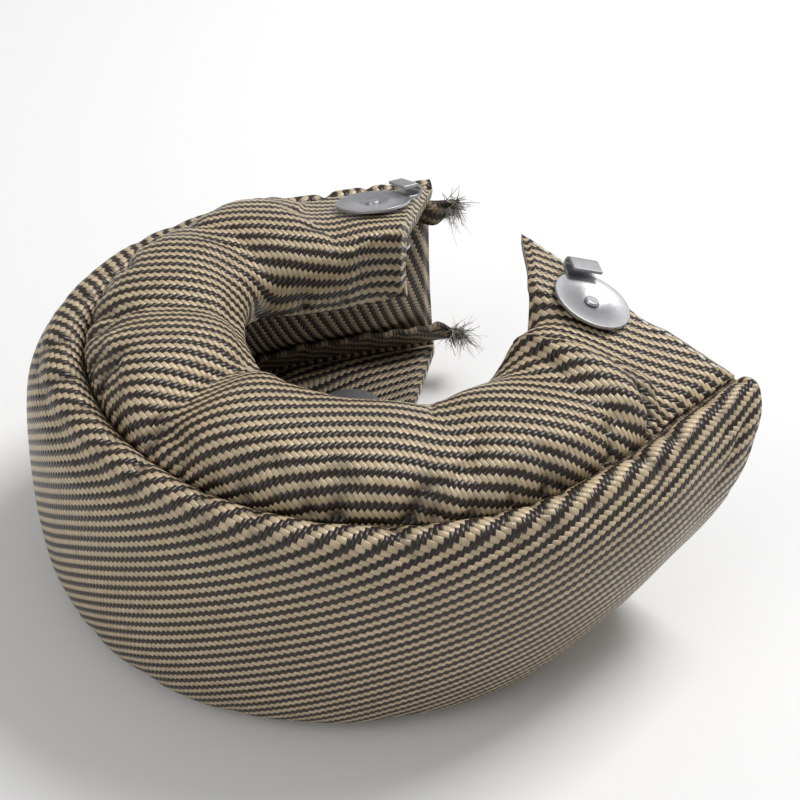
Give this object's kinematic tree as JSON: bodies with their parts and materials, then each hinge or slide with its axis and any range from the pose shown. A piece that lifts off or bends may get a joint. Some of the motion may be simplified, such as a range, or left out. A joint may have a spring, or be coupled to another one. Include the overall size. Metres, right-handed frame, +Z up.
{
  "type": "turbo heat blanket",
  "caption": "C-shaped padded heat jacket of woven cloth over wool, open at one side, with a round bore through both walls and riveted hook discs beside the gap.",
  "frame": {"origin": "on the floor, below the middle of the jacket's box", "axes": "+Z up along the bore, from the back wall to the front wall; +X to the side where the gap's right flap is; +Y away from the picture's viewer"},
  "size_m": [0.1674, 0.1464, 0.0764],
  "materials": {
    "cover_cloth": "twill woven from cream and dark brown lava-fibre yarns",
    "lining_cloth": "the same twill",
    "wool": "matted silica wool",
    "cloth_ends": "gathered and frayed cloth ends",
    "stamped_steel": "satin stainless sheet",
    "rivet_steel": "satin stainless"
  },
  "bodies": {
    "root": {"front_cover": "cover_cloth", "front_wool": "wool", "front_lining": "lining_cloth", "band_cover": "cover_cloth", "band_wool": "wool", "band_lining": "lining_cloth", "back_cover": "cover_cloth", "back_wool": "wool", "back_lining": "lining_cloth", "front_seam_allowance": "cloth_ends", "back_seam_allowance": "cloth_ends", "front_right_hook_disc": "stamped_steel", "front_right_washer": "stamped_steel", "front_right_rivet": "rivet_steel", "front_left_hook_disc": "stamped_steel", "front_left_washer": "stamped_steel", "front_left_rivet": "rivet_steel", "back_left_hook_disc": "stamped_steel", "back_left_washer": "stamped_steel", "back_left_rivet": "rivet_steel", "back_right_hook_disc": "stamped_steel", "back_right_washer": "stamped_steel", "back_right_rivet": "rivet_steel"}
  },
  "joints": []
}
